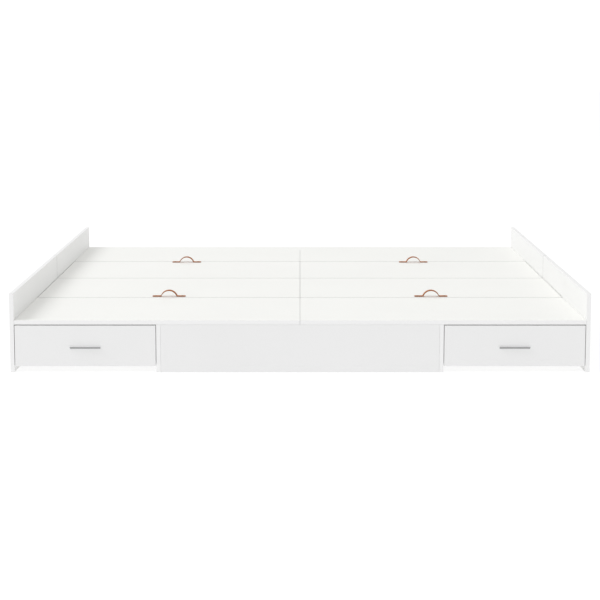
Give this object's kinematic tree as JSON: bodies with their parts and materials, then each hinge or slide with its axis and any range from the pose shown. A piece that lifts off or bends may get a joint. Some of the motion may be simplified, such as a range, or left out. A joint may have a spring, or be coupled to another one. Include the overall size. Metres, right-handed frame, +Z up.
{
  "type": "platform bed with storage drawers",
  "caption": "Low white double platform bed: board deck between plain head and foot panels, drawers in the long sides, and storage lids with leather lifting straps.",
  "frame": {"origin": "middle of the bed's footprint, on the floor", "axes": "+X along the bed's length to the right-hand end panel, -Y out of the front long side, +Z up"},
  "size_m": [2.03, 1.818, 0.28],
  "materials": {
    "white_board": "matt white foil on 15 mm particle board, with matching edge banding",
    "drawer_base": "white-faced 3 mm hardboard",
    "runner_steel": "white epoxy-coated steel",
    "handle_metal": "satin brushed metal",
    "strap_leather": "tan saddle leather with burnished edges"
  },
  "bodies": {
    "frame": {"end_panel_left_front": "white_board", "end_panel_left_rear": "white_board", "end_panel_right_front": "white_board", "end_panel_right_rear": "white_board", "divider_left_front": "white_board", "divider_left_rear": "white_board", "divider_right_front": "white_board", "divider_right_rear": "white_board", "centre_panel_front": "white_board", "centre_panel_rear": "white_board", "partition_front": "white_board", "partition_rear": "white_board", "spine_front": "white_board", "spine_rear": "white_board", "centre_beam_left": "white_board", "centre_beam_right": "white_board", "deck_left_front": "white_board", "deck_left_rear": "white_board", "deck_right_front": "white_board", "deck_right_rear": "white_board", "runner_left_front_left": "runner_steel", "runner_left_front_right": "runner_steel", "runner_left_rear_left": "runner_steel", "runner_left_rear_right": "runner_steel", "runner_right_front_left": "runner_steel", "runner_right_front_right": "runner_steel", "runner_right_rear_left": "runner_steel", "runner_right_rear_right": "runner_steel"},
    "lid_left_front": {"lid_left_front": "white_board", "strap_left_front": "strap_leather"},
    "lid_left_rear": {"lid_left_rear": "white_board", "strap_left_rear": "strap_leather"},
    "lid_right_front": {"lid_right_front": "white_board", "strap_right_front": "strap_leather"},
    "lid_right_rear": {"lid_right_rear": "white_board", "strap_right_rear": "strap_leather"},
    "drawer_left_front": {"drawer_left_front_front_board": "white_board", "drawer_left_front_side_left": "white_board", "drawer_left_front_side_right": "white_board", "drawer_left_front_back": "white_board", "drawer_left_front_base": "drawer_base", "drawer_left_front_handle": "handle_metal"},
    "drawer_left_rear": {"drawer_left_rear_front_board": "white_board", "drawer_left_rear_side_left": "white_board", "drawer_left_rear_side_right": "white_board", "drawer_left_rear_back": "white_board", "drawer_left_rear_base": "drawer_base", "drawer_left_rear_handle": "handle_metal"},
    "drawer_right_front": {"drawer_right_front_front_board": "white_board", "drawer_right_front_side_left": "white_board", "drawer_right_front_side_right": "white_board", "drawer_right_front_back": "white_board", "drawer_right_front_base": "drawer_base", "drawer_right_front_handle": "handle_metal"},
    "drawer_right_rear": {"drawer_right_rear_front_board": "white_board", "drawer_right_rear_side_left": "white_board", "drawer_right_rear_side_right": "white_board", "drawer_right_rear_back": "white_board", "drawer_right_rear_base": "drawer_base", "drawer_right_rear_handle": "handle_metal"}
  },
  "joints": [
    {"name": "drawer_left_front_slide", "type": "slide", "parent": "frame", "child": "drawer_left_front", "axis": [0, -1, 0], "range_m": [0, 0.3]},
    {"name": "drawer_left_rear_slide", "type": "slide", "parent": "frame", "child": "drawer_left_rear", "axis": [0, 1, 0], "range_m": [0, 0.3]},
    {"name": "drawer_right_front_slide", "type": "slide", "parent": "frame", "child": "drawer_right_front", "axis": [0, -1, 0], "range_m": [0, 0.3]},
    {"name": "drawer_right_rear_slide", "type": "slide", "parent": "frame", "child": "drawer_right_rear", "axis": [0, 1, 0], "range_m": [0, 0.3]},
    {"name": "lid_left_front_hinge", "type": "hinge", "parent": "frame", "child": "lid_left_front", "pos_m": [-0.5, -0.00175, 0.185], "axis": [-1, 0, 0], "range_deg": [0, 85]},
    {"name": "lid_left_rear_hinge", "type": "hinge", "parent": "frame", "child": "lid_left_rear", "pos_m": [-0.5, 0.00175, 0.185], "axis": [1, 0, 0], "range_deg": [0, 85]},
    {"name": "lid_right_front_hinge", "type": "hinge", "parent": "frame", "child": "lid_right_front", "pos_m": [0.5, -0.00175, 0.185], "axis": [-1, 0, 0], "range_deg": [0, 85]},
    {"name": "lid_right_rear_hinge", "type": "hinge", "parent": "frame", "child": "lid_right_rear", "pos_m": [0.5, 0.00175, 0.185], "axis": [1, 0, 0], "range_deg": [0, 85]}
  ]
}
